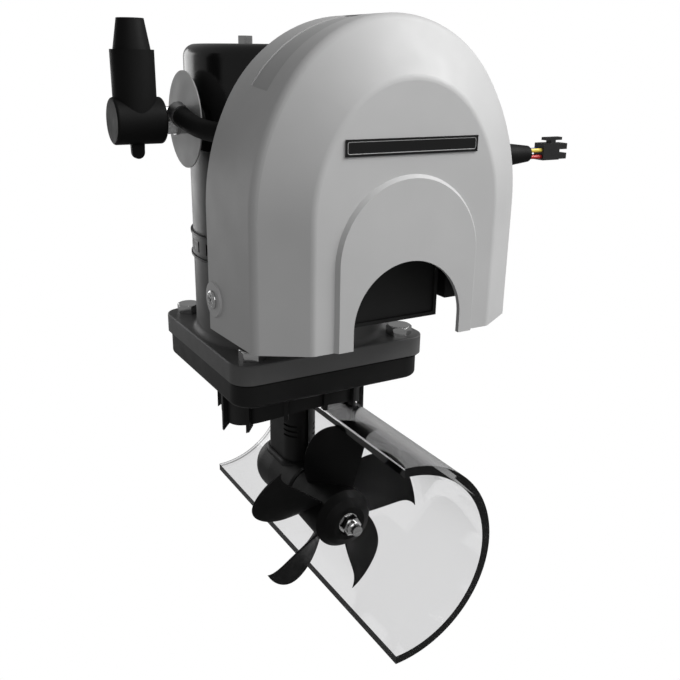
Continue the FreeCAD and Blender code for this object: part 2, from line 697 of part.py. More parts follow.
def field_magnets():
    inner = armature_radius + air_gap
    outer = neck_radius - neck_wall
    shell = ring(outer, inner, V(0, 0, armature_bottom + 8), armature_top - armature_bottom - 12)
    pole = Part.makeCylinder(outer + 5, 2 * cap_top, V(0, 0, 0), Z_AXIS, magnet_span)
    return group([shell.common(p) for p in turned_copies(pole, 4, Z_AXIS, 45 - magnet_span / 2)])


def motor_end_cap():
    outer = cylinder(cap_radius, V(0, 0, casing_top), cap_top - casing_top)
    outer = outer.makeFillet(cap_corner, edges_at_height(outer, cap_top))
    outer = outer.cut(cylinder(cap_radius - cap_wall - 1, V(0, 0, casing_top - 1), cap_height - cap_wall + 1))
    seat_bottom = cap_top - cap_wall - motor_bearing_height - 3
    seat = ring(motor_bearing_outer + 4, motor_bearing_outer, V(0, 0, seat_bottom), motor_bearing_height + 3.5)
    body = outer.fuse(seat).removeSplitter()
    for x, y in through_bolts:
        body = body.cut(cylinder(through_bolt_radius + running, V(x, y, cap_top - 20), 40))
    return body.cut(cylinder(stud_radius + 1.9, V(-cap_radius - 20, terminal_y, terminal_z), 40, X_AXIS))


def motor_through_bolts():
    bolts = []
    for x, y in through_bolts:
        head = hexagon(through_bolt_flats, V(x, y, cap_top), through_bolt_head, Z_AXIS)
        shank = cylinder(through_bolt_radius, V(x, y, plate_bottom + 8), cap_top - plate_bottom - 7)
        bolts.append(head.fuse(shank).removeSplitter())
    return group(bolts)


def brush_ring():
    outer = cap_radius - cap_wall - 1
    start = casing_top + brush_ring_height
    plate = ring(outer, commutator_radius + 6, V(0, 0, start), brush_ring_thickness)
    for x, y in through_bolts:
        plate = plate.cut(cylinder(through_bolt_radius + 1, V(x, y, casing_top), cap_height))
    bottom, near = start + brush_ring_thickness, commutator_radius + 2
    half = holder_width / 2
    holder = block((near, near + holder_length), (-half, half), (bottom - 1, bottom + holder_height + 1))
    way = block((0, 2 * near + holder_length), (holder_wall - half, half - holder_wall),
                (bottom + holder_wall - 1, bottom + holder_height - holder_wall + 1))
    return fused([plate] + turned_copies(holder.cut(way), 4, Z_AXIS, 45))


def brushes():
    gap = 0.1
    half = holder_width / 2 - holder_wall - gap
    bottom = casing_top + brush_ring_height + brush_ring_thickness
    low, high = bottom + holder_wall - 1 + gap, bottom + holder_height - holder_wall + 1 - gap
    near = commutator_radius - 1
    brush = block((near, near + brush_length + 1.2), (-half, half), (low, high))
    face = cylinder(commutator_radius + running, V(0, 0, commutator_bottom), commutator_length)
    return group([b.cut(face) for b in turned_copies(brush, 4, Z_AXIS, 45)])


def clamp_band():
    bottom = joint_height - band_width / 2
    band = ring(neck_radius + band_thickness, neck_radius, V(0, 0, bottom), band_width)
    lip = ring(neck_radius + band_thickness + 0.9, neck_radius, V(0, 0, bottom + band_width - 1.6), 1.6)
    lower = ring(neck_radius + band_thickness + 0.9, neck_radius, V(0, 0, bottom), 1.6)
    body = fused([band, lip, lower])
    slot = block((neck_radius - 5, neck_radius + 5), (-1.1, 1.1), (bottom + 5.0, bottom + band_width - 5.0))
    for cut in turned_copies(slot, band_slot_count, Z_AXIS):
        body = body.cut(cut)
    return body


def clamp_screw():
    """Worm screw in its housing, on the rear of the band."""
    start = neck_radius + band_thickness + 0.9
    housing = block((-9, 9), (start, start + 10), (joint_height - 7, joint_height + 7))
    base = block((-11, 11), (neck_radius, start + 2), (joint_height - 6, joint_height + 6))
    base = base.cut(cylinder(neck_radius + band_thickness + 0.9, V(0, 0, 0), cap_top))
    screw = hexagon(8.0, V(-15, start + 5.5, joint_height), 30, X_AXIS)
    return fused([housing, base, screw])


# ---------------------------------------------------------------- terminal, boot and cable
def terminal_stud():
    inner_end = -(cap_radius - cap_wall - 4)
    return cylinder(stud_radius, V(boot_stem_x - 2, terminal_y, terminal_z), inner_end - boot_stem_x + 2, X_AXIS)


def terminal_insulator():
    """Bush round the stud in the cap's wall, flat where the disc lies on it."""
    start = disc_x
    body = ring(stud_radius + 1.9, stud_radius, V(start, terminal_y, terminal_z), 14.0, X_AXIS)
    pad = ring(stud_radius + 6.0, stud_radius, V(start, terminal_y, terminal_z), -cap_radius - start + 4, X_AXIS)
    pad = pad.cut(cylinder(cap_radius, V(0, 0, 0), 2 * cap_top))
    return fused([body, pad])


def terminal_disc():
    return ring(disc_radius, stud_radius, V(disc_x - disc_thickness, terminal_y, terminal_z), disc_thickness, X_AXIS)


def terminal_nuts():
    height = terminal_nut_height
    inner = hexagon(terminal_nut_flats, V(lug_x, terminal_y, terminal_z), height, X_AXIS)
    outer_start = V(lug_x - lug_thickness - outer_nut_height, terminal_y, terminal_z)
    outer = hexagon(terminal_nut_flats, outer_start, outer_nut_height, X_AXIS)
    hole = cylinder(stud_radius, V(-200, terminal_y, terminal_z), 300, X_AXIS)
    return group([inner.cut(hole), outer.cut(hole)])


def cable_points():
    """Centre line of the cable from the lug on the motor to the bar of the contactor."""
    start = V(lug_x - 2.6, terminal_y - 9.0, terminal_z + 5.0)
    return [start, V(-88.2, -35.0, 284.0), V(-85.8, -52.0, 281.0), V(-79.6, -70.0, 280.0),
            V(-71.0, bar_y - 2.0, 279.5)]


def cable_lug():
    """Ring lug on the stud, with a barrel crimped on the cable's end."""
    start, after = cable_points()[:2]
    run = after - start
    run.normalize()
    ear = cylinder(lug_radius, V(lug_x - lug_thickness, terminal_y, terminal_z), lug_thickness, X_AXIS)
    barrel = cylinder(cable_radius + 0.9, start - run * 1.5, 8.0, run)
    keep = block((-200, lug_x), (-60, 0), (200, 400))
    body = ear.fuse(barrel.common(keep)).removeSplitter()
    body = body.cut(cylinder(cable_radius, start, 40, run))
    nut_room = cylinder(lug_radius + 0.4, V(lug_x - lug_thickness - 30, terminal_y, terminal_z), 30, X_AXIS)
    return body.cut(nut_room).cut(cylinder(stud_radius, V(-200, terminal_y, terminal_z), 300, X_AXIS))


def motor_cable():
    tube, length, tightest = route_tube(cable_points(), cable_radius)
    print("motor cable: length %.1f, smallest arc radius %.1f" % (length, tightest))
    tube = tube.cut(block((-200, 0), (bar_y - 50, bar_y), (200, 400)))
    return tube.cut(cylinder(lug_radius + 0.4, V(-200, terminal_y, terminal_z), 200, X_AXIS))


def terminal_boot():
    """Rubber boot: a barrel over the terminal, a stem with an open cone for the battery cable."""
    length = boot_near_x - boot_far_x
    barrel = cylinder(boot_radius, V(boot_far_x, terminal_y, terminal_z), length, X_AXIS)
    ends = [e for e in barrel.Edges if abs(e.BoundBox.XMax - e.BoundBox.XMin) < 1e-3]
    barrel = barrel.makeFillet(1.6, ends)
    stem = cylinder(stem_radius, V(boot_stem_x, terminal_y, terminal_z), stem_height)
    cone = Part.makeCone(cone_base_radius, cone_top_radius, cone_height, V(boot_stem_x, terminal_y, stem_top))
    tab_y, tip_z = -tab_thickness / 2, -(boot_radius + tab_half)
    outline = [V(-tab_half, tab_y, 0), V(tab_half, tab_y, 0), V(tab_tip_half, tab_y, tip_z), V(-tab_tip_half, tab_y, tip_z)]
    tab = Part.Face(Part.makePolygon(outline + outline[:1])).extrude(Y_AXIS * tab_thickness)
    tab = tab.fuse(cylinder(tab_tip_half, V(0, tab_y, tip_z), tab_thickness, Y_AXIS))
    tab.translate(V(boot_stem_x, terminal_y, terminal_z))
    body = fused([barrel, stem, cone, tab])
    inside = cylinder(boot_radius - boot_wall, V(boot_far_x + boot_wall, terminal_y, terminal_z),
                      length - boot_wall - boot_lip, X_AXIS)
    nut_corner = terminal_nut_flats / math.sqrt(3)
    mouth = cylinder(nut_corner + 0.01, V(boot_far_x + boot_wall, terminal_y, terminal_z), length, X_AXIS)
    entry = cylinder(cable_entry_radius, V(boot_stem_x, terminal_y, terminal_z), cone_top - terminal_z + 1)
    room = cylinder(stem_radius - boot_wall, V(boot_stem_x, terminal_y, terminal_z), stem_height - 4)
    return body.cut(inside).cut(mouth).cut(entry).cut(room)


# ---------------------------------------------------------------- cover
def arch_outline(size, y, offset=0.0, base=None):
    """Closed outline in an XZ plane: straight flanks, two flank arcs and a crown arc."""
    half, rise, flank = size[0] - offset, size[1] - offset, size[2] - offset
    base = cover_base if base is None else base
    top = cover_spring + rise
    crown = (half ** 2 + rise ** 2 - 2 * flank * half) / (2 * (rise - flank))
    crown_z = top - crown
    turn = math.atan2(crown_z - cover_spring, flank - half)

    def flank_point(angle, side):
        return V(side * (half - flank + flank * math.cos(angle)), y, cover_spring + flank * math.sin(angle))

    right = [flank_point(a, 1) for a in (0, turn / 2, turn)]
    left = [flank_point(a, -1) for a in (turn, turn / 2, 0)]
    edges = [
        Part.LineSegment(V(-half, y, base), V(half, y, base)).toShape(),
        Part.LineSegment(V(half, y, base), right[0]).toShape(),
        Part.Arc(*right).toShape(),
        Part.Arc(right[2], V(0, y, top), left[0]).toShape(),
        Part.Arc(*left).toShape(),
        Part.LineSegment(left[2], V(-half, y, base)).toShape(),
    ]
    return Part.Wire(edges)


def round_arch(half, top, y, base):
    spring = top - half
    return Part.Wire([
        Part.LineSegment(V(-half, y, base), V(half, y, base)).toShape(),
        Part.LineSegment(V(half, y, base), V(half, y, spring)).toShape(),
        Part.Arc(V(half, y, spring), V(0, y, top), V(-half, y, spring)).toShape(),
        Part.LineSegment(V(-half, y, spring), V(-half, y, base)).toShape(),
    ])


def cover_form(offset, base):
    """The cover's outer form, or the same form drawn in by an offset."""
    rear = cover_rim_y + (1.0 if offset > 0 and base < cover_base else 0.0)
    front = cover_front_y + offset
    shoulder = cover_shoulder_y + 0.4 * offset
    wires = [arch_outline(cover_rim, rear, offset, base), arch_outline(cover_shoulder, shoulder, offset, base),
             arch_outline(cover_front, front, offset, base)]
    return Part.makeLoft(wires, True, True)


def cover_inner_half(y):
    """Half width inside the cover's straight flanks at a station along the tunnel."""
    share = (cover_rim_y - y) / (cover_rim_y - cover_shoulder_y)
    return cover_rim[0] + (cover_shoulder[0] - cover_rim[0]) * share - cover_wall


def edges_in_plane_y(shape, y):
    found = []
    for edge in shape.Edges:
        box = edge.BoundBox
        if abs(box.YMin - y) < 1e-3 and abs(box.YMax - y) < 1e-3 and box.ZMax > cover_base + 1:
            found.append(edge)
    return found


def motor_cover():
    outer = cover_form(0.0, cover_base)
    brows = edges_in_plane_y(outer, cover_shoulder_y) + edges_in_plane_y(outer, cover_front_y)
    outer = outer.makeFillet(cover_edge_radius, brows)
    plateau = Part.makeLoft([round_arch(plateau_half, plateau_top, cover_front_y + 0.5, cover_base),
                             round_arch(plateau_half - plateau_slope, plateau_top - plateau_slope,
                                        cover_front_y - plateau_height, cover_base)], True, True)
    body = outer.fuse(plateau).removeSplitter()
    for side in (-1, 1):
        start = V(side * (cover_rim[0] - cover_wall), cover_screw_y, cover_screw_z)
        boss = Part.makeCone(boss_radius + 1.5, boss_radius, cover_wall + boss_height, start, X_AXIS * side)
        body = body.fuse(boss)
    body = body.cut(cover_form(cover_wall, cover_base - 10))
    inset = plateau_slope + cover_wall
    pocket_y = cover_front_y - plateau_height + cover_wall
    pocket = Part.Face(round_arch(plateau_half - inset, plateau_top - inset, pocket_y, cover_base - 10))
    body = body.cut(pocket.extrude(Y_AXIS * (plateau_height + 1)))
    opening = Part.Face(round_arch(opening_half, opening_top, cover_front_y - 20, cover_base - 20))
    body = body.cut(opening.extrude(Y_AXIS * 50))
    skin = cover_form(0.0, cover_base - 1).cut(cover_form(label_depth, cover_base - 1))
    window = block(label_x, (label_front_y, label_rear_y), (cover_spring, 2 * cover_spring))
    body = body.cut(skin.common(window))
    for side in (-1, 1):
        way = cylinder(screw_radius + loose, V(side * 60, cover_screw_y, cover_screw_z), 60, X_AXIS * side)
        body = body.cut(way)
    return body.removeSplitter()


def cover_screws():
    screws = []
    for side in (-1, 1):
        seat = cover_rim[0] + boss_height
        axis = X_AXIS * side
        start = V(side * seat, cover_screw_y, cover_screw_z)
        head = cylinder(screw_head_radius, start, screw_head_height, axis)
        rims = [e for e in head.Edges if abs(abs(e.BoundBox.XMax) - seat - screw_head_height) < 1e-2
                or abs(abs(e.BoundBox.XMin) - seat - screw_head_height) < 1e-2]
        rims = [e for e in rims if e.BoundBox.XMax - e.BoundBox.XMin < 1e-3]
        head = head.makeFillet(0.7 * screw_head_height, rims)
        for turn in (0, 90):
            half, width = screw_cross_length / 2, screw_cross_width / 2
            top = seat + screw_head_height
            cross = block((top - screw_cross_depth, top + 1), (-half, half), (-width, width))
            cross.rotate(V(0, 0, 0), X_AXIS, turn + 20)
            if side < 0:
                cross = cross.mirror(V(0, 0, 0), X_AXIS)
            cross.translate(V(0, cover_screw_y, cover_screw_z))
            head = head.cut(cross)
        inner = cover_rim[0] - cover_wall - ear_reach
        shank = cylinder(screw_radius, V(side * inner, cover_screw_y, cover_screw_z), seat + 0.5 - inner, axis)
        screws.append(head.fuse(shank).removeSplitter())
    return group(screws)


def badge_plate():
    y = cover_front_y
    plate = block((-badge_half, badge_half), (y - badge_thickness, y), (badge_bottom, badge_top))
    edge = badge_border
    panel = block((-badge_half + edge, badge_half - edge), (y - 2 * badge_thickness, y - 0.6 * badge_thickness),
                  (badge_bottom + edge, badge_top - edge))
    return plate.cut(panel)


# ---------------------------------------------------------------- electrics behind the cover
def component_board():
    """Sheet that stands in front of the motor and carries the electrics and the cover."""
    back = board_y
    front = back - board_thickness
    sheet = block((-board_half, board_half), (front, back), (board_bottom, board_top))
    level = [e for e in sheet.Edges if abs(e.tangentAt(e.FirstParameter).y) > 0.9]
    body = sheet.makeFillet(board_corner, [e for e in level if e.BoundBox.ZMin > board_top - 1])
    ear_front = cover_screw_y - ear_depth
    reach = cover_inner_half(ear_front) - loose
    low, high = board_bottom, cover_screw_z + ear_rise
    for side in (-1, 1):
        arm = block(sorted((side * (board_half - 5), side * reach)), (front, back), (low, high))
        ear = block(sorted((side * (reach - ear_reach - 4), side * reach)), (ear_front, back), (low, high))
        body = body.fuse(arm).fuse(ear)
        pad_low, pad_high = sorted((side * 14, side * 30))
        pad = block((pad_low, pad_high), (back, -neck_radius / 2), (joint_height - band_width, joint_height + band_width))
        pad = pad.cut(cylinder(neck_radius + band_thickness + 0.9, V(0, 0, 0), cap_top))
        body = body.fuse(pad)
    for side in (-1, 1):
        body = body.cut(cylinder(screw_radius, V(side * 60, cover_screw_y, cover_screw_z), 60, X_AXIS * side))
    return body.removeSplitter()


def control_box():
    back = board_y - board_thickness
    body = block((-box_half, box_half), (box_front_y, back), (box_bottom, box_top))
    face = block((-box_half + box_lip, box_half - box_lip), (box_front_y - 1, box_front_y + box_recess),
                 (box_bottom + box_lip, box_top - box_lip))
    return body.cut(face)


def contactor():
    back = board_y - board_thickness
    body = block((-contactor_half, contactor_half), (back - base_thickness, back), (contactor_bottom, contactor_top))
    coils = [body]
    for side in (-1, 1):
        start = V(side * coil_spread, back - base_thickness + 1, contactor_bottom + coil_rise)
        coils.append(cylinder(coil_radius, start, contactor_depth - base_thickness + 1, -Y_AXIS))
    return fused(coils)


def contactor_bar():
    """Copper bar from the contactor to the end of the motor cable."""
    back = board_y - board_thickness - base_thickness
    level = contactor_top - bar_drop
    bar = block((bar_far_x, -contactor_half + 12), (bar_y - bar_thickness, bar_y), (level - 6, level + 8))
    foot = block((-contactor_half + 2, -contactor_half + 12), (bar_y - 1, back), (level - 6, level + 8))
    return bar.fuse(foot).removeSplitter()


def contactor_studs():
    back = board_y - board_thickness - base_thickness
    studs = []
    for x in (0.0, contactor_half - 7):
        base = V(x, back, contactor_top - bar_drop / 2)
        studs.append(fused([cylinder(3.0, base, 12, -Y_AXIS), hexagon(10.0, base, 4, -Y_AXIS)]))
    return group(studs)


def control_unit():
    """Small sealed unit on the rear of the board that the control loom comes from."""
    half = unit_height / 2
    return block(unit_x, (unit_front_y, unit_front_y + unit_depth), (loom_z - half, loom_z + half))


# ---------------------------------------------------------------- control loom
def loom_points():
    start = V(unit_x[1] + gland_length, loom_y + 2.0, loom_z - 1.2)
    return [start, V(104.0, start.y, start.z), V(sleeve_start_x + 4.0, loom_y, loom_z + 0.3),
            V(sleeve_end_x - 2.0, loom_y, loom_z)]


def loom_gland():
    start, after = loom_points()[:2]
    body = cylinder(loom_radius + 3.4, V(unit_x[1], start.y, start.z), gland_length, X_AXIS)
    return body.cut(cylinder(loom_radius, start, 100, X_AXIS))


def loom_cable():
    tube, length, tightest = route_tube(loom_points(), loom_radius)
    print("loom: length %.1f, smallest arc radius %.1f" % (length, tightest))
    return tube


def loom_sleeve():
    length = sleeve_end_x - sleeve_start_x
    body = Part.makeCone(sleeve_start_radius, sleeve_end_radius, length, V(sleeve_start_x, loom_y, loom_z), X_AXIS)
    return body.cut(route_tube(loom_points(), loom_radius)[0])


def loom_wires():
    wires = []
    for y, z in corners(wire_spread_y, wire_spread_z):
        start = V(sleeve_end_x, loom_y + y, loom_z + z)
        wires.append(cylinder(wire_radius, start, plug_start_x - sleeve_end_x, X_AXIS))
    return wires


def loom_plug():
    body = block((plug_start_x, plug_end_x - 8), (loom_y - plug_half_y, loom_y + plug_half_y),
                 (plug_z - plug_half_z, plug_z + plug_half_z))
    parts = [body]
    finger_y = (loom_y - plug_half_y + 0.6, loom_y + plug_half_y - 0.6)
    for side in (-1, 1):
        low, high = sorted((side * 1.4, side * (plug_half_z - 0.4)))
        parts.append(block((plug_end_x - 9, plug_end_x), finger_y, (plug_z + low, plug_z + high)))
    latch_z, latch_y = plug_z + plug_half_z, (loom_y - plug_half_y / 2, loom_y + plug_half_y / 2)
    parts.append(block((plug_start_x + 4, plug_end_x - 4), latch_y, (latch_z + 2.0, latch_z + 4.2)))
    parts.append(block((plug_start_x + 9, plug_start_x + 14), latch_y, (latch_z - 1, latch_z + 3)))
    return fused(parts)


# ---------------------------------------------------------------- export
def main():
    os.makedirs("parts", exist_ok=True)
    makers = [tunnel_section, saddle, saddle_gasket, motor_bracket, bracket_bolts, saddle_inserts,
              gear_leg, bearing_carrier, shaft_seal, propeller_bearings, leg_bearings, drive_pinion, driven_gear,
              drive_shaft, shaft_coupling, motor_shaft, motor_bearings, armature, commutator, prop_shaft, drive_pin,
              propeller, prop_washer, prop_nut, motor_casing, field_magnets, motor_end_cap, motor_through_bolts,
              brush_ring, brushes, clamp_band, clamp_screw, terminal_stud, terminal_insulator, terminal_disc,
              terminal_nuts, cable_lug, motor_cable, terminal_boot, motor_cover, cover_screws, badge_plate,
              component_board, control_box, contactor, contactor_studs, contactor_bar, control_unit, loom_gland,
              loom_cable, loom_sleeve, loom_plug]
    for maker in makers:
        shape = maker()
        shape.exportStep("parts/%s.step" % maker.__name__)
        print("%-22s solids %2d valid %s" % (maker.__name__, len(shape.Solids), shape.isValid()))
    for colour, wire in zip(("red", "yellow", "black", "blue"), loom_wires()):
        wire.exportStep("parts/wire_%s.step" % colour)


main()
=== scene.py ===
import bpy
import bmesh
import json
import math
from mathutils import Matrix, Vector

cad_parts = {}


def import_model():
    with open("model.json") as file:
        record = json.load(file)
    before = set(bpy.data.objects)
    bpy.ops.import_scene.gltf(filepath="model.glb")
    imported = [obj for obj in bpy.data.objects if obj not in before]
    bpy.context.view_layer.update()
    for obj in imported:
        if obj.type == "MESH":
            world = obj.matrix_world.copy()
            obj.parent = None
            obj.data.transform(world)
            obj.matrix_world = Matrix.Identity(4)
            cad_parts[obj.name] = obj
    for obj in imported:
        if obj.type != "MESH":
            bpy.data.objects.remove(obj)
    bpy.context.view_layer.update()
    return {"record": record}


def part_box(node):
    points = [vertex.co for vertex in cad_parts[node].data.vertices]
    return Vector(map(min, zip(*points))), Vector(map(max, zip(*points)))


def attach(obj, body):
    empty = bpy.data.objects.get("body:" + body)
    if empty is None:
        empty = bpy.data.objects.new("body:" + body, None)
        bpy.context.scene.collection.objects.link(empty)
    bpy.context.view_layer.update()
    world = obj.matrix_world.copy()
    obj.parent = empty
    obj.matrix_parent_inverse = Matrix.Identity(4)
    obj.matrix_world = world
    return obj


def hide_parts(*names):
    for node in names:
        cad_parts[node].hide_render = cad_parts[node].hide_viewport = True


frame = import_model()
scene = bpy.context.scene
BODY = "housing"


# ------------------------------------------------------------------ camera
SENSOR_WIDTH, LENS = 36.0, 43.11937      # mm
CAMERA_PLACE = (-0.272344, -0.542711, 0.324032)
CAMERA_TURN, CAMERA_TILT, CAMERA_ROLL = -30.338, 19.061, 0.986      # degrees


def make_camera():
    data = bpy.data.cameras.new("camera")
    data.sensor_width = SENSOR_WIDTH
    data.lens = LENS
    data.clip_start, data.clip_end = 0.01, 50.0
    camera = bpy.data.objects.new("camera", data)
    scene.collection.objects.link(camera)
    turn, tilt, roll = (math.radians(angle) for angle in (CAMERA_TURN, CAMERA_TILT, CAMERA_ROLL))
    back = Vector((math.sin(turn) * math.cos(tilt), -math.cos(turn) * math.cos(tilt), math.sin(tilt)))
    right = Vector((math.cos(turn), math.sin(turn), 0.0))
    up = back.cross(right)
    side = right * math.cos(roll) + up * math.sin(roll)
    top = up * math.cos(roll) - right * math.sin(roll)
    place = Matrix((side, top, back)).transposed().to_4x4()
    place.translation = Vector(CAMERA_PLACE)
    camera.matrix_world = place
    scene.camera = camera


make_camera()


# ------------------------------------------------------------------ helpers
def obj(name):
    return bpy.data.objects[name]


def new_object(name, data, body=BODY, material=None):
    piece = bpy.data.objects.new(name, data)
    scene.collection.objects.link(piece)
    if material is not None:
        data.materials.append(material)
    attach(piece, body)
    return piece


def curve_piece(name, points, radius, material, body=BODY):
    data = bpy.data.curves.new(name, "CURVE")
    data.dimensions = "3D"
    data.bevel_depth = radius
    data.bevel_resolution = 6
    data.use_fill_caps = True
    data.resolution_u = 24
    spline = data.splines.new("NURBS")
    spline.points.add(len(points) - 1)
    for point, place in zip(spline.points, points):
        point.co = (*place, 1.0)
    spline.order_u = 3
    spline.use_endpoint_u = True
    return new_object(name, data, body, material)


# ------------------------------------------------------------------ materials
class Shader:
    """A node tree round one Principled BSDF, with short calls for the usual nodes."""

    def __init__(self, name, colour, roughness=0.5, metallic=0.0, **sockets):
        self.material = bpy.data.materials.new(name)
        self.material.use_nodes = True
        self.tree = self.material.node_tree
        self.bsdf = self.tree.nodes["Principled BSDF"]
        self.bsdf.inputs["Base Color"].default_value = (*colour, 1.0)
        self.bsdf.inputs["Roughness"].default_value = roughness
        self.bsdf.inputs["Metallic"].default_value = metallic
        for socket, value in sockets.items():
            self.bsdf.inputs[socket.replace("_", " ")].default_value = value
        self.where = self.tree.nodes.new("ShaderNodeTexCoord").outputs["Object"]

    def node(self, kind, **settings):
        made = self.tree.nodes.new(kind)
        for key, value in settings.items():
            if hasattr(made, key):
                setattr(made, key, value)
            else:
                made.inputs[key].default_value = value
        return made

    def link(self, out, into):
        self.tree.links.new(out, into)

    def stretched(self, scale):
        mapping = self.node("ShaderNodeMapping")
        mapping.inputs["Scale"].default_value = scale
        self.link(self.where, mapping.inputs["Vector"])
        return mapping.outputs["Vector"]

    def noise(self, scale, detail=4.0, rough=0.55, stretch=None):
        made = self.node("ShaderNodeTexNoise", Scale=scale, Detail=detail, Roughness=rough)
        self.link(self.where if stretch is None else self.stretched(stretch), made.inputs["Vector"])
        return made.outputs["Fac"]

    def ramp(self, fac, low, high, dark, light):
        made = self.node("ShaderNodeValToRGB")
        made.color_ramp.elements[0].position = low
        made.color_ramp.elements[1].position = high
        made.color_ramp.elements[0].color = (*dark, 1.0)
        made.color_ramp.elements[1].color = (*light, 1.0)
        self.link(fac, made.inputs["Fac"])
        return made.outputs["Color"]

    def map_range(self, fac, low, high, to_low, to_high):
        made = self.node("ShaderNodeMapRange")
        limits = {"From Min": low, "From Max": high, "To Min": to_low, "To Max": to_high}
        for key, value in limits.items():
            made.inputs[key].default_value = value
        self.link(fac, made.inputs["Value"])
        return made.outputs["Result"]

    def colour(self, out):
        self.link(out, self.bsdf.inputs["Base Color"])

    def roughness(self, out):
        self.link(out, self.bsdf.inputs["Roughness"])

    def bump(self, fac, distance, strength=0.6, after=None):
        made = self.node("ShaderNodeBump", Strength=strength, Distance=distance)
        self.link(fac, made.inputs["Height"])
        if after is not None:
            self.link(after, made.inputs["Normal"])
        self.link(made.outputs["Normal"], self.bsdf.inputs["Normal"])
        return made.outputs["Normal"]


def grey(value, tint=0.0):
    return (value * (1 + tint), value, value * (1 - tint))


def moulded(name, dark, light, roughness, grain=900.0, depth=0.00006, **sockets):
    """Moulded plastic: slow change of colour and gloss over a fine grain."""
    made = Shader(name, light, roughness, **sockets)
    slow = made.noise(14.0, 3.0)
    made.colour(made.ramp(slow, 0.35, 0.68, dark, light))
    made.roughness(made.map_range(made.noise(60.0, 3.0), 0.3, 0.7, roughness * 0.88, roughness * 1.12))
    made.bump(made.noise(grain, 2.0), depth, 0.5)
    return made.material


def between(made, axis, low, high):
    """1 where the piece's own coordinate lies between low and high, else 0."""
    split = made.node("ShaderNodeSeparateXYZ")
    made.link(made.where, split.inputs["Vector"])
    above = made.node("ShaderNodeMath", operation="GREATER_THAN")
    below = made.node("ShaderNodeMath", operation="LESS_THAN")
    for test, limit in ((above, low), (below, high)):
        made.link(split.outputs[axis], test.inputs[0])
        test.inputs[1].default_value = limit
    both = made.node("ShaderNodeMath", operation="MULTIPLY")
    made.link(above.outputs[0], both.inputs[0])
    made.link(below.outputs[0], both.inputs[1])
    return both.outputs[0]


def tinted(made, base, mask, tint):
    """Colour that turns to tint where the mask is 1."""
    mix = made.node("ShaderNodeMix", data_type="RGBA")
    made.link(mask, mix.inputs["Factor"])
    made.link(base, mix.inputs[6])
    mix.inputs[7].default_value = (*tint, 1.0)
    return mix.outputs[2]


def metal(name, dark, light, roughness, stretch=(1.0, 1.0, 60.0), scale=40.0):
    """Metal with a fine grain drawn out along one axis."""
    made = Shader(name, light, roughness, 1.0)
    fine = made.noise(scale, 3.0, 0.6, stretch)
    made.colour(made.ramp(fine, 0.3, 0.7, dark, light))
    made.roughness(made.map_range(fine, 0.3, 0.7, roughness * 0.75, roughness * 1.3))
    made.bump(fine, 0.00002, 0.4)
    return made.material


LABEL_X, LABEL_Y = (-0.0741, -0.0119), (-0.1201, -0.0989)    # recess on the crown of the cover
RIM_SHADE_LINE = 0.0012               # width of the painted shade line at the tunnel's rear rim
CROWN_SHADE = 0.022             # how far down from its crown the tunnel is tinted with painted shade under the saddle


def cover_grey():
    """Moulded grey with a slightly darker bare label in the recess on the crown."""
    made = Shader("cover_grey", grey(0.41), 0.5, Specular_IOR_Level=0.35)
    moulding = made.ramp(made.noise(14.0, 3.0), 0.35, 0.68, grey(0.40), grey(0.43))
    label = made.node("ShaderNodeMath", operation="MULTIPLY")
    made.link(between(made, "X", *LABEL_X), label.inputs[0])
    made.link(between(made, "Y", *LABEL_Y), label.inputs[1])
    made.colour(tinted(made, moulding, label.outputs[0], grey(0.33)))
    made.roughness(made.map_range(made.noise(60.0, 3.0), 0.3, 0.7, 0.44, 0.56))
    made.bump(made.noise(1400.0, 2.0), 0.00003, 0.5)
    return made.material


def clear_plastic():
    """Clear moulding with painted shade: darker towards its crown under the saddle, and a dark painted
    shade line along its rear rim.
    """
    made = Shader("clear_plastic", (0.73, 0.73, 0.735), 0.03, IOR=1.45, Transmission_Weight=1.0)
    body = made.ramp(made.noise(9.0, 2.0), 0.3, 0.7, (0.725, 0.725, 0.73), (0.735, 0.735, 0.74))
    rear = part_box("tunnel_section")[1][1]
    # painted shade: a dark grey band tinted into the clear plastic along its rear rim
    rim_shaded = tinted(made, body, between(made, "Y", rear - RIM_SHADE_LINE, rear + RIM_SHADE_LINE), grey(0.12))
    split = made.node("ShaderNodeSeparateXYZ")
    made.link(made.where, split.inputs["Vector"])
    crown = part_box("tunnel_section")[1][2]
    # painted shade: the tunnel darkens towards its crown, where it lies under the saddle
    near_crown = made.map_range(split.outputs["Z"], crown - CROWN_SHADE, crown, 0.0, 1.0)
    made.colour(tinted(made, rim_shaded, near_crown, grey(0.18)))
    made.roughness(made.map_range(made.noise(25.0, 3.0), 0.35, 0.7, 0.015, 0.05))
    made.bump(made.noise(9.0, 2.0), 0.00008, 0.25)
    return made.material


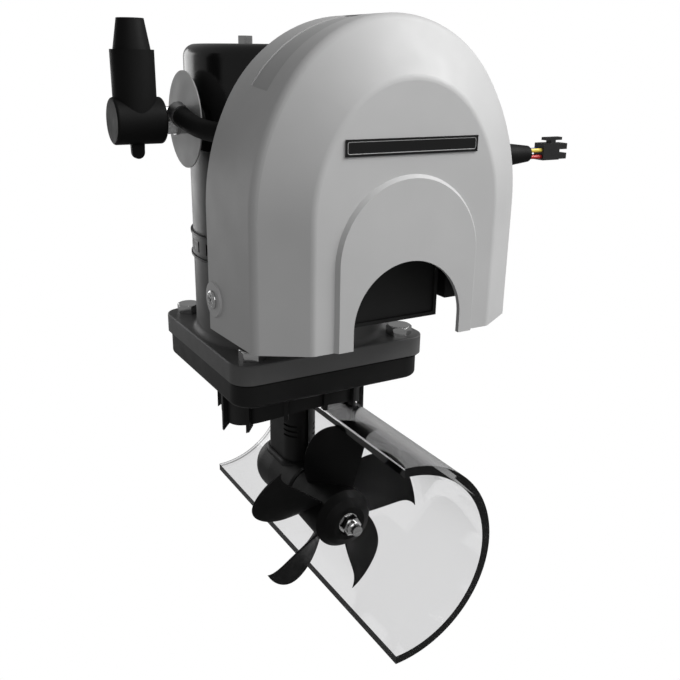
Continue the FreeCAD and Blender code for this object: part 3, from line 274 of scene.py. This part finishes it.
MATERIALS = {
    "clear_plastic": clear_plastic(),
    "black_composite": moulded("black_composite", grey(0.006), grey(0.010), 0.46,
                               Specular_IOR_Level=0.24),
    "bracket_paint": moulded("bracket_paint", grey(0.095), grey(0.108), 0.46,
                             500.0, Specular_IOR_Level=0.22),
    "motor_paint": moulded("motor_paint", grey(0.003), grey(0.005), 0.2, 300.0, 0.00002),
    "motor_body_paint": moulded("motor_body_paint", grey(0.040), grey(0.048), 0.38,
                                300.0, Specular_IOR_Level=0.3),
    "cover_grey": cover_grey(),
    "stainless": metal("stainless", grey(0.50), grey(0.66), 0.16),
    "steel": metal("steel", grey(0.35), grey(0.5), 0.35),
    "bronze": metal("bronze", (0.45, 0.30, 0.12), (0.6, 0.42, 0.2), 0.35),
    "copper": metal("copper", (0.5, 0.22, 0.11), (0.7, 0.34, 0.2), 0.35),
    "magnet": moulded("magnet", grey(0.03), grey(0.05), 0.6, 300.0),
    "rubber": moulded("rubber", grey(0.005), grey(0.008), 0.56,
                      600.0, 0.00004, Specular_IOR_Level=0.08),
    # painted reflection: the terminal disc's light grey stands in for bright surroundings reflected in its
    # dark satin face; the badge border reuses this grey
    "disc_plastic": moulded("disc_plastic", grey(0.29), grey(0.32), 0.5, 500.0, Specular_IOR_Level=0.3),
    "black_plastic": moulded("black_plastic", grey(0.010), grey(0.014), 0.45,
                             700.0, Specular_IOR_Level=0.3),
    "name_plate": moulded("name_plate", grey(0.003), grey(0.004), 0.2, 300.0, 0.00001),
    "wire_black": moulded("wire_black", grey(0.008), grey(0.012), 0.4, 500.0),
    "wire_blue": moulded("wire_blue", (0.01, 0.05, 0.3), (0.02, 0.08, 0.42), 0.4, 500.0),
    "wire_red": moulded("wire_red", (0.35, 0.01, 0.01), (0.5, 0.02, 0.02), 0.4, 500.0),
    "wire_yellow": moulded("wire_yellow", (0.62, 0.48, 0.06), (0.75, 0.6, 0.10), 0.4, 500.0),
}

OWN_FINISH = {
    "propeller": moulded("propeller_composite", grey(0.004), grey(0.006), 0.55, Specular_IOR_Level=0.1),
    "clamp_band": metal("band_steel", grey(0.05), grey(0.08), 0.45),
    "control_box": moulded("box_plastic", grey(0.014), grey(0.020), 0.5, 700.0, Specular_IOR_Level=0.3),
}

for part in frame["record"]["subparts"]:
    data = obj(part["node"]).data
    data.materials.clear()
    data.materials.append(OWN_FINISH.get(part["node"], MATERIALS[part["material_slot"]]))


# ------------------------------------------------------------------ fasteners and trim
def body_of(node):
    bodies = frame["record"]["behaviour"]["bodies"]
    return next(name for name, nodes in bodies.items() if node in nodes)


def turned_mesh(name, rings, place, axis="Z", steps=72):
    """Closed mesh from rings of (height, radius at angle); the first and last rings are capped."""
    made = bmesh.new()
    loops = []
    for height, radius in rings:
        loop = []
        for step in range(steps):
            angle = 2 * math.pi * step / steps
            reach = radius(angle)
            loop.append(made.verts.new((reach * math.cos(angle), reach * math.sin(angle), height)))
        loops.append(loop)
    for low, high in zip(loops, loops[1:]):
        for step in range(steps):
            after = (step + 1) % steps
            made.faces.new((low[step], low[after], high[after], high[step]))
    made.faces.new(loops[0][::-1])
    made.faces.new(loops[-1])
    if axis == "-Y":
        bmesh.ops.rotate(made, verts=made.verts, matrix=Matrix.Rotation(math.pi / 2, 3, "X"))
    bmesh.ops.translate(made, verts=made.verts, vec=Vector(place))
    data = bpy.data.meshes.new(name)
    made.to_mesh(data)
    made.free()
    return data


def hexagonal(flats, turn, limit=1.0):
    """Radius of a hexagon at an angle, cut off by a circle of limit."""
    def radius(angle):
        off_flat = (angle - turn) % (math.pi / 3) - math.pi / 6
        return min(flats / 2 / math.cos(off_flat), limit)
    return radius


def circular(size):
    return lambda angle: size


HEAD_FLATS, HEAD_HEIGHT, HEAD_CHAMFER = 0.017, 0.0072, 0.0013
HEAD_CORNER = HEAD_FLATS / 2 / math.cos(math.pi / 6)
HEAD_TOP = HEAD_FLATS * 0.47            # radius of the round top face
SHANK_RADIUS, SHANK_LENGTH = 0.005, 0.0245
HEAD_TURNS = {"rear_left": 20.0, "rear_right": 44.0, "front_left": 28.0, "front_right": 31.0}    # degrees


def bolt(name, place, turn):
    """Hexagon-head bolt, turned to where the spanner left it."""
    rings = [(-SHANK_LENGTH, circular(SHANK_RADIUS)), (0.0, circular(SHANK_RADIUS)),
             (0.0, hexagonal(HEAD_FLATS, turn))]
    for share in (0.0, 0.25, 0.5, 0.75, 1.0):
        limit = HEAD_CORNER - (HEAD_CORNER - HEAD_TOP) * share ** 1.5
        height = HEAD_HEIGHT - HEAD_CHAMFER * (1 - share)
        rings.append((height, hexagonal(HEAD_FLATS, turn, limit)))
    return new_object(name, turned_mesh(name, rings, place), BODY, MATERIALS["stainless"])


def bracket_bolts():
    """One bolt in each corner of the bracket's plate."""
    low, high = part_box("bracket_bolts")
    seat = high[2] - HEAD_HEIGHT
    for end, y in (("front", low[1] + HEAD_FLATS / 2), ("rear", high[1] - HEAD_FLATS / 2)):
        for side, x in (("left", low[0] + HEAD_CORNER), ("right", high[0] - HEAD_CORNER)):
            key = end + "_" + side
            bolt("bracket_bolt_" + key, (x, y, seat), math.radians(HEAD_TURNS[key]))
    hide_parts("bracket_bolts")


COLLAR_RADIUS, COLLAR_LENGTH = 0.0058, 0.0034
COLLAR_SHAPE = ((0.0, 1.0), (0.6, 0.97), (0.9, 0.86), (1.0, 0.78))      # shares of length and radius


def prop_nut_collar():
    """Rounded collar of the lock nut, on the nut's outer face."""
    low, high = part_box("prop_nut")
    face = ((low[0] + high[0]) / 2, low[1], (low[2] + high[2]) / 2)
    rings = [(COLLAR_LENGTH * along, circular(COLLAR_RADIUS * out)) for along, out in COLLAR_SHAPE]
    data = turned_mesh("prop_nut_collar", rings, face, "-Y")
    new_object("prop_nut_collar", data, body_of("prop_nut"), MATERIALS["stainless"])


BORDER_INSET, BORDER_CORNER = 0.0014, 0.0012
BORDER_RADIUS = 0.00024
PANEL_SUNK = 0.00036            # how deep the badge's panel lies behind its rim


def badge_border():
    """Thin light line round the sunk panel of the bare badge plate."""
    low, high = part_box("badge_plate")
    inset = BORDER_INSET + BORDER_CORNER
    left, right = low[0] + inset, high[0] - inset
    bottom, top = low[2] + inset, high[2] - inset
    centres = ((right, top), (left, top), (left, bottom), (right, bottom))
    data = bpy.data.curves.new("badge_border", "CURVE")
    data.dimensions = "3D"
    data.bevel_depth = BORDER_RADIUS
    spline = data.splines.new("POLY")
    steps = 4
    spline.points.add(len(centres) * (steps + 1) - 1)
    for index, point in enumerate(spline.points):
        quarter, step = divmod(index, steps + 1)
        angle = math.pi / 2 * (quarter + step / steps)
        x, z = centres[quarter]
        point.co = (x + BORDER_CORNER * math.cos(angle), low[1] + PANEL_SUNK,
                    z + BORDER_CORNER * math.sin(angle), 1.0)
    spline.use_cyclic_u = True
    new_object("badge_border", data, BODY, MATERIALS["disc_plastic"])


bracket_bolts()
prop_nut_collar()
badge_border()


# ------------------------------------------------------------------ control cable
LOOM = [(0.082, -0.070, 0.2574), (0.104, -0.070, 0.2574), (0.132, -0.072, 0.2589), (0.161, -0.072, 0.2586)]
LOOM_RADIUS = 0.0048
loom = curve_piece("control_cable", LOOM, LOOM_RADIUS, MATERIALS["rubber"])
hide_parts("loom_cable")


# ------------------------------------------------------------------ stage and light
ROOM_LIGHT = 0.25               # what the object is lit by from all sides
FLOOR_HALF, FLOOR_LEVEL = 6.0, -0.30


def seen_white(tree, dim):
    """Emission that shows white to the camera, also through the tunnel, and lights the object softly."""
    path = tree.nodes.new("ShaderNodeLightPath")
    either = tree.nodes.new("ShaderNodeMath")
    either.operation = "MAXIMUM"
    tree.links.new(path.outputs["Is Camera Ray"], either.inputs[0])
    tree.links.new(path.outputs["Is Transmission Ray"], either.inputs[1])
    strength = tree.nodes.new("ShaderNodeMapRange")
    strength.inputs["To Min"].default_value = dim
    strength.inputs["To Max"].default_value = 1.0
    tree.links.new(either.outputs[0], strength.inputs["Value"])
    return strength.outputs["Result"]


def make_stage():
    data = bpy.data.meshes.new("floor")
    corners = [(x, y, FLOOR_LEVEL) for x, y in ((-1, -1), (1, -1), (1, 1), (-1, 1))]
    data.from_pydata([(x * FLOOR_HALF, y * FLOOR_HALF, z) for x, y, z in corners], [], [(0, 1, 2, 3)])
    floor = bpy.data.objects.new("floor", data)
    scene.collection.objects.link(floor)
    material = bpy.data.materials.new("floor_white")
    material.use_nodes = True
    tree = material.node_tree
    tree.nodes.remove(tree.nodes["Principled BSDF"])
    glow = tree.nodes.new("ShaderNodeEmission")
    tree.links.new(seen_white(tree, ROOM_LIGHT), glow.inputs["Strength"])
    tree.links.new(glow.outputs["Emission"], tree.nodes["Material Output"].inputs["Surface"])
    data.materials.append(material)
    world = bpy.data.worlds.new("world")
    world.use_nodes = True
    back = world.node_tree.nodes["Background"]
    back.inputs["Color"].default_value = (1.0, 1.0, 1.0, 1.0)
    world.node_tree.links.new(seen_white(world.node_tree, ROOM_LIGHT), back.inputs["Strength"])
    scene.world = world
    scene.view_settings.view_transform = "Standard"


def area_light(name, place, target, size, power):
    data = bpy.data.lights.new(name, "AREA")
    data.shape = "RECTANGLE"
    data.size, data.size_y = size
    data.energy = power
    light = bpy.data.objects.new(name, data)
    scene.collection.objects.link(light)
    light.location = place
    light.rotation_euler = (Vector(target) - Vector(place)).to_track_quat("-Z", "Y").to_euler()


make_stage()
area_light("key", (1.18, -0.85, 1.45), (0.0, -0.05, 0.2), (1.2, 1.2), 51.0)
area_light("fill", (-0.3, -1.45, 0.85), (0.0, 0.0, 0.15), (0.9, 0.9), 5.5)
area_light("rear", (-0.4, 1.5, 0.25), (0.0, 0.0, 0.25), (0.9, 0.9), 5.0)

bpy.context.view_layer.update()
